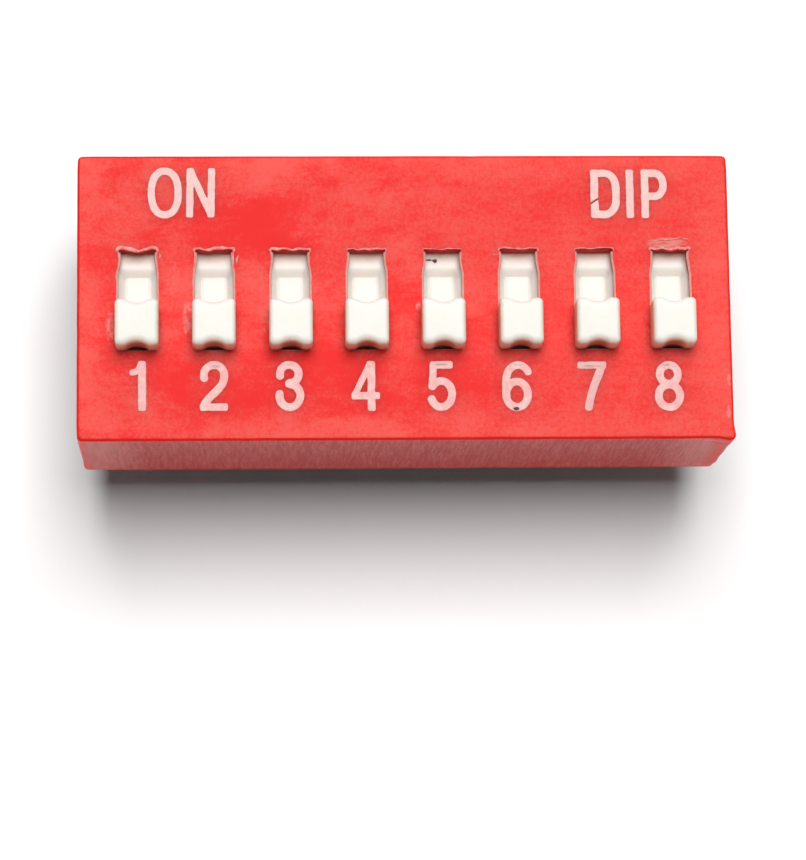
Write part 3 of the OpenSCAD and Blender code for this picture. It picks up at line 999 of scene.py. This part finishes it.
def plate_solid():
    """The plate, with more points where its upper face bends."""
    def places(half, bends):
        near = [half - PLATE_R * (1 - math.sin(math.radians(d))) for d in (0, 25, 45, 65, 80, 90)]
        for middle, reach in bends:
            near += [middle + reach * t / 4 for t in range(-4, 5)]
        near = sorted(set(round(v, 4) for v in near))
        return [-v for v in near[::-1]] + [0.0] + near

    xs = places(PLATE_W / 2, ((RECESS_W / 2 - 0.045, 0.095), (SPINE_W / 2 - 0.01, 0.07)))
    ys = places(PLATE_L / 2, ((RECESS_L / 2 - 0.15, 0.21), (SPINE_L / 2 + 0.02, 0.05)))
    under = PLATE_TOP - PLATE_T
    nx, ny = len(xs), len(ys)
    points = [(x, y, plate_height(x, y)) for x in xs for y in ys]
    faces = [(i * ny + j, (i + 1) * ny + j, (i + 1) * ny + j + 1, i * ny + j + 1)
             for i in range(nx - 1) for j in range(ny - 1)]
    rim = [i * ny for i in range(nx)] + [(nx - 1) * ny + j for j in range(1, ny)]
    rim += [i * ny + ny - 1 for i in range(nx - 2, -1, -1)] + list(range(ny - 2, 0, -1))
    count = len(rim)
    rings = [rim]
    for z, inset in ((under + PLATE_R, 0), (under, PLATE_R)):
        rings.append(range(len(points), len(points) + count))
        narrow, short = 1 - 2 * inset / PLATE_W, 1 - 2 * inset / PLATE_L
        points += [(points[k][0] * narrow, points[k][1] * short, z) for k in rim]
    for upper, lower in zip(rings, rings[1:]):
        for k in range(count):
            n = (k + 1) % count
            faces.append((upper[k], upper[n], lower[n], lower[k]))
    faces.append(tuple(rings[-1]))
    ob = mesh_object("slider", points, faces)
    outward(ob.data)
    return ob


def slider_mesh():
    """One actuator, drawn about its own middle, with all its moulded edges softened."""
    plate = plate_solid()
    under = PLATE_TOP - PLATE_T
    # The skirts and the peg reach this far up into the plate
    rooted = under + 0.3
    parts = []
    for side in (-1, 1):
        mid = side * (PLATE_W - SKIRT_T) / 2
        parts.append(box_solid("skirt", (mid - SKIRT_T / 2, -SKIRT_L / 2, SKIRT_FOOT),
                               (mid + SKIRT_T / 2, SKIRT_L / 2, rooted)))
    peg = [(PEG_R * math.cos(a), PEG_R * math.sin(a)) for a in np.linspace(0, 2 * math.pi, 33)[:-1]]
    parts.append(loft("peg", [[(x, y, z) for x, y in peg] for z in (under - PEG_L, rooted)]))
    for part in parts:
        soften(part, 0.05, 3, 60)
    combine(plate, parts + [knob_solid()], "UNION")
    smooth(plate, 42)
    mesh = plate.data
    bpy.data.objects.remove(plate)
    return mesh


SLIDER = slider_mesh()
# How far these actuators have slipped sideways in their play
SLIP = {4: -0.03, 5: -0.03}
for i in range(1, COUNT + 1):
    x, y = slider_centre(i)
    mesh = SLIDER.copy()
    mesh.name = f"slider_skin_{i}"
    for v in mesh.vertices:
        v.co += Vector((x + SLIP.get(i, 0), y, 0))
    ob = bpy.data.objects.new(f"slider_skin_{i}", mesh)
    bpy.context.scene.collection.objects.link(ob)
    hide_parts(f"slider_{i}")
    dress(ob, IVORY, f"actuator_{i}")
bpy.data.meshes.remove(SLIDER)


# ---------------------------------------------------------------- legends and dirt

# The row of digits is a little closer than the windows and falls slightly towards the 8
DIGIT_X, DIGIT_PITCH, DIGIT_Y, DIGIT_FALL, EIGHT_SHIFT = -8.867, 2.5085, -3.0, -0.011, 0.057
# Each sign's name, letter, middle in X and Y, and width of stroke
SIGNS = [("legend_O", "O", -7.984, 3.565, 0.245), ("legend_N", "N", -6.784, 3.566, 0.24),
         ("legend_D", "D", 6.770, 3.505, 0.255), ("legend_I", "I", 7.601, 3.503, 0.255),
         ("legend_P", "P", 8.417, 3.501, 0.255)]
for k in range(COUNT):
    x = DIGIT_X + DIGIT_PITCH * k + (EIGHT_SHIFT if k == 7 else 0)
    SIGNS.append((f"digit_{k + 1}", str(k + 1), x, DIGIT_Y + DIGIT_FALL * k, INK_W))
# A scratch through the D, from its own centre
D_SCRATCH = [(-0.52, -0.36), (-0.36, -0.24), (-0.22, -0.16)]
for name, letter, x, y, width in SIGNS:
    scratch = D_SCRATCH if letter == "D" else None
    dress(legend(name, letter, x, y, width, scratch), INK, "housing")


def speck(name, x, y, z, half_w, half_l, seed, body, slot):
    """A flake of dirt with a ragged outline."""
    def field(gx, gy):
        oval = np.hypot((gx - x) / half_w, (gy - y) / half_l)
        rough = np.vectorize(lambda a, b: wave(a * 14, b * 14, seed))(gx, gy)
        return oval - 1 + 0.55 * rough

    room_w, room_l = half_w * 1.6, half_l * 1.6
    ob = flat_shape(name, field, (x - room_w, y - room_l), (x + room_w, y + room_l),
                    z - SUNK, z + 0.02, step=0.01)
    dress(ob, DIRT, body)


speck("speck_6", 3.64, -3.82, TOP + INK_T, 0.085, 0.055, 2, "housing", "cover_plastic")
speck("speck_5_right", 1.047, 1.335, PLATE_TOP, 0.085, 0.058, 4, "actuator_5", "slider_plastic")
speck("speck_5_left", 0.84, 1.365, PLATE_TOP, 0.085, 0.026, 6, "actuator_5", "slider_plastic")
scratch_line = [(6.30, 3.17, TOP + 0.002), (6.41, 3.255, TOP + 0.004), (6.54, 3.335, TOP + 0.002)]
dress(tube("scratch_D", scratch_line, [0.008, 0.014, 0.007]), DIRT, "housing")

redress("base", BLACK)
for i in range(1, COUNT + 1):
    redress(f"contact_{i}", GOLD)
    redress(f"front_terminal_{i}", TIN)
    redress(f"back_terminal_{i}", TIN)


# ---------------------------------------------------------------- stage

FLOOR_HALF = 1500
# The camera that was fitted to the photo: its place, its turn in degrees and its lens
CAMERA_PLACE = (-5.299, -25.313, 118.324)
CAMERA_TURN = (10.473, -2.490, -0.745)
CAMERA_LENS = 145.28
# The even light from all round
WORLD_LIGHT = 0.07


def floor():
    """A pale floor under the pins. It looks whiter than the light that it sends back to the switch."""
    n = Nodes("pale_floor")
    tone = n.band(n.noise(0.02, 3), 0.3, 0.7)
    path = n.tree.nodes.new("ShaderNodeLightPath").outputs
    seen = n.largest(path["Is Camera Ray"], n.largest(path["Is Glossy Ray"], path["Is Transmission Ray"]))
    colour = n.mix(seen, n.mix(tone, (0.84, 0.84, 0.84), (0.86, 0.86, 0.855)),
                   n.mix(tone, (0.94, 0.94, 0.94), (0.96, 0.96, 0.955)))
    roughness = n.weigh(n.noise(0.05), 0.1, 0.8)
    material = n.finish(colour, roughness, n.bump(n.noise(2.0), 0.002), specular=0.2)
    z = cad_box[0].z / MM
    corners = [(x * FLOOR_HALF, y * FLOOR_HALF, z) for x, y in ((-1, -1), (1, -1), (1, 1), (-1, 1))]
    ob = mesh_object("floor", corners, [(0, 1, 2, 3)])
    ob.data.materials.append(material)
    to_metres(ob)


def area_light(name, azimuth, elevation, distance, width, height, power):
    """A soft lamp that faces the switch. Azimuth 0 lies towards ON."""
    a, e = math.radians(azimuth), math.radians(elevation)
    way = Vector((math.sin(a) * math.cos(e), math.cos(a) * math.cos(e), math.sin(e)))
    light = bpy.data.lights.new(name, "AREA")
    light.shape = "RECTANGLE"
    light.size, light.size_y = width * MM, height * MM
    light.energy = power
    ob = bpy.data.objects.new(name, light)
    ob.location = way * distance * MM
    ob.rotation_euler = way.to_track_quat("Z", "Y").to_euler()
    bpy.context.scene.collection.objects.link(ob)


def camera():
    data = bpy.data.cameras.new("camera")
    data.lens = CAMERA_LENS
    data.clip_start = 0.001
    data.clip_end = 10
    ob = bpy.data.objects.new("camera", data)
    ob.location = Vector(CAMERA_PLACE) * MM
    ob.rotation_euler = [math.radians(d) for d in CAMERA_TURN]
    bpy.context.scene.collection.objects.link(ob)
    bpy.context.scene.camera = ob


floor()
camera()
area_light("key", azimuth=6, elevation=75.0, distance=900, width=460, height=560, power=9.7)

world = bpy.data.worlds.new("surroundings")
bpy.context.scene.world = world
world.use_nodes = True
sky = world.node_tree.nodes["Background"].inputs
sky["Color"].default_value = (1.0, 1.0, 1.0, 1)
sky["Strength"].default_value = WORLD_LIGHT
bpy.context.scene.view_settings.view_transform = "Standard"
